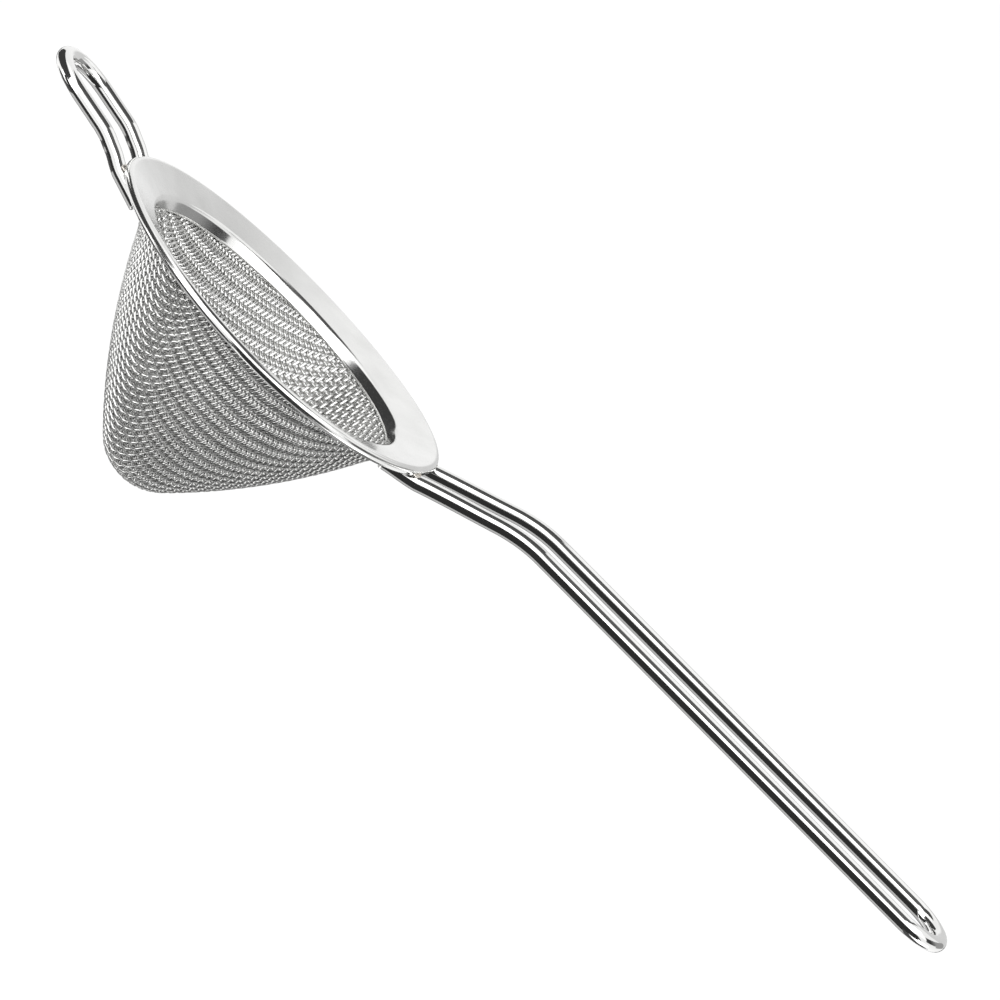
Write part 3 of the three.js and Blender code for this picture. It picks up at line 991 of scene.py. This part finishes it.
def side_card(name, x, y_low, y_high, z_low, z_high, shade):
    """An upright card across X."""
    corners = [(x, y_low, z_low), (x, y_high, z_low), (x, y_high, z_high), (x, y_low, z_high)]
    return card(name, corners, shade)


def graded(sheet, axis, low, high, least, most):
    """Lets the strength of a card change evenly from low to high, between two places on one axis."""
    tree = sheet.active_material.node_tree
    coords = tree.nodes.new("ShaderNodeTexCoord")
    axes = tree.nodes.new("ShaderNodeSeparateXYZ")
    tree.links.new(coords.outputs["Object"], axes.inputs["Vector"])
    strength = spread(tree, axes.outputs[axis], low, high, least, most)
    tree.links.new(strength, tree.nodes["Principled BSDF"].inputs["Emission Strength"])


# %% Dark and bright stripes on the rods
BLACK = 0.03
OVERHEAD = 0.45
ABOVE_HANDLE = 0.44
BELOW_RODS = -0.335
FRONT_FOOT = (-0.16, -0.30)

long_card("front_card", -0.02, 0.80, (-0.50, 0.05), FRONT_FOOT, BLACK)
long_card("overhead_card", -0.22, 0.28, (-0.33, OVERHEAD), (-0.10, OVERHEAD), 0.10)
long_card("rear_overhead_card", -0.22, 0.28, (-0.10, OVERHEAD), (0.19, OVERHEAD), 0.08)
long_card("handle_shade_card", 0.04, 0.24, (-0.52, ABOVE_HANDLE), (-0.02, ABOVE_HANDLE), 0.12)
long_card("handle_top_card", 0.04, 0.24, (0.0, ABOVE_HANDLE), (0.62, ABOVE_HANDLE), 1.1)
long_card("under_handle_card", 0.0, 0.24, FRONT_FOOT, (-0.03, BELOW_RODS), BLACK)

# %% Grey lower edges of the rods
GREY_BACK = 1.4
# From full strength in front to a fifth of it behind, with the change between these two places.
GREY_FADE = (1.0, 0.2, 0.15, 0.45)

handle_grey = long_card(
    "under_handle_grey_card", 0.02, 0.24, (-0.03, BELOW_RODS), (GREY_BACK, BELOW_RODS), 0.55,
)
rest_grey = long_card(
    "under_rest_grey_card", -0.20, -0.02, (-0.08, BELOW_RODS), (GREY_BACK, BELOW_RODS), 0.58,
)
graded(handle_grey, "Y", *GREY_FADE)
graded(rest_grey, "Y", *GREY_FADE)

# %% Dark lines on bead, lip and cloth
UNDER_SIDES = -0.46
LEFT_END = -0.60
RIGHT_END = 0.75

long_card("bead_card", -0.80, -0.02, (-0.26, -0.17), (-0.08, BELOW_RODS), BLACK)
long_card("low_back_card", -0.60, 0.60, (0.95, -0.40), (0.95, -0.10), 0.06)
long_card("under_left_card", -0.60, -0.22, (-0.30, UNDER_SIDES), (0.50, UNDER_SIDES), 0.08)
long_card("under_right_card", 0.24, 0.60, (-0.30, UNDER_SIDES), (0.50, UNDER_SIDES), 0.08)
side_card("left_card", LEFT_END, -0.48, 0.75, -0.20, 0.40, 0.05)
right_card = side_card("right_card", RIGHT_END, -0.13, 0.26, 0.05, 0.45, 0.05)
graded(right_card, "Y", 1.0, 6.0, 0.04, 0.26)
side_card("right_grey_card", RIGHT_END, 0.26, 0.95, -0.05, 0.45, 0.34)

# %% Bright panels for the flange
side_card("left_panel", LEFT_END, -0.50, 0.15, 0.42, 0.90, 1.2)
side_card("right_panel", RIGHT_END, -0.60, -0.14, 0.15, 0.65, 1.2)
panel = long_card("back_panel", -0.45, 1.00, (0.90, -0.10), (0.90, 1.30), 0.85)
graded(panel, "X", 1.20, 0.84, -0.12, 0.04)

# %% [markdown]
# ## Lamps
# A long lamp in front and above draws the bright band along the rods. Five more light the cloth from both
# sides, above and below. Small strong lamps would put a white dot on every wire, so these are large and
# weak. Each is set by the brightness of its face, from which its power follows.

# %% Lamps
def soft_lamp(name, place, aim, wide, high, glow):
    """An area lamp whose face has a given brightness, aimed at a point."""
    data = bpy.data.lights.new(name, "AREA")
    data.shape = "RECTANGLE"
    data.size = wide
    data.size_y = high
    data.energy = glow * math.pi * wide * high
    lamp = bpy.data.objects.new(name, data)
    bpy.context.scene.collection.objects.link(lamp)
    lamp.location = place
    lamp.rotation_euler = (Vector(aim) - lamp.location).to_track_quat("-Z", "Y").to_euler()
    print(name, "of", round(data.energy, 2), "W")


CLOTH_MIDDLE = (0.0, 0.0, -0.02)
MOUTH_MIDDLE = (0.0, 0.0, -0.01)

soft_lamp("long_lamp", (0.1, -0.60, 0.27), (0.1, 0.0, 0.0), wide=1.4, high=0.42, glow=1.25)
soft_lamp("cloth_lamp", (-0.58, -0.50, -0.08), CLOTH_MIDDLE, wide=0.80, high=0.60, glow=1.2)
soft_lamp("upper_left_lamp", (-0.45, -0.50, 0.50), MOUTH_MIDDLE, wide=0.70, high=0.60, glow=1.0)
soft_lamp("upper_right_lamp", (0.55, -0.50, 0.50), MOUTH_MIDDLE, wide=0.70, high=0.60, glow=1.8)
soft_lamp("low_left_lamp", (-0.42, -0.20, -0.40), CLOTH_MIDDLE, wide=0.50, high=0.50, glow=1.4)
soft_lamp("low_right_lamp", (0.50, -0.12, -0.40), CLOTH_MIDDLE, wide=0.50, high=0.50, glow=1.6)

# %% [markdown]
# ## Size of the solid model
# The box of the solid model is printed in millimetres.

# %% Print the size of the solid model
print("solid model", [[round(c / MM, 1) for c in v] for v in cad_box])
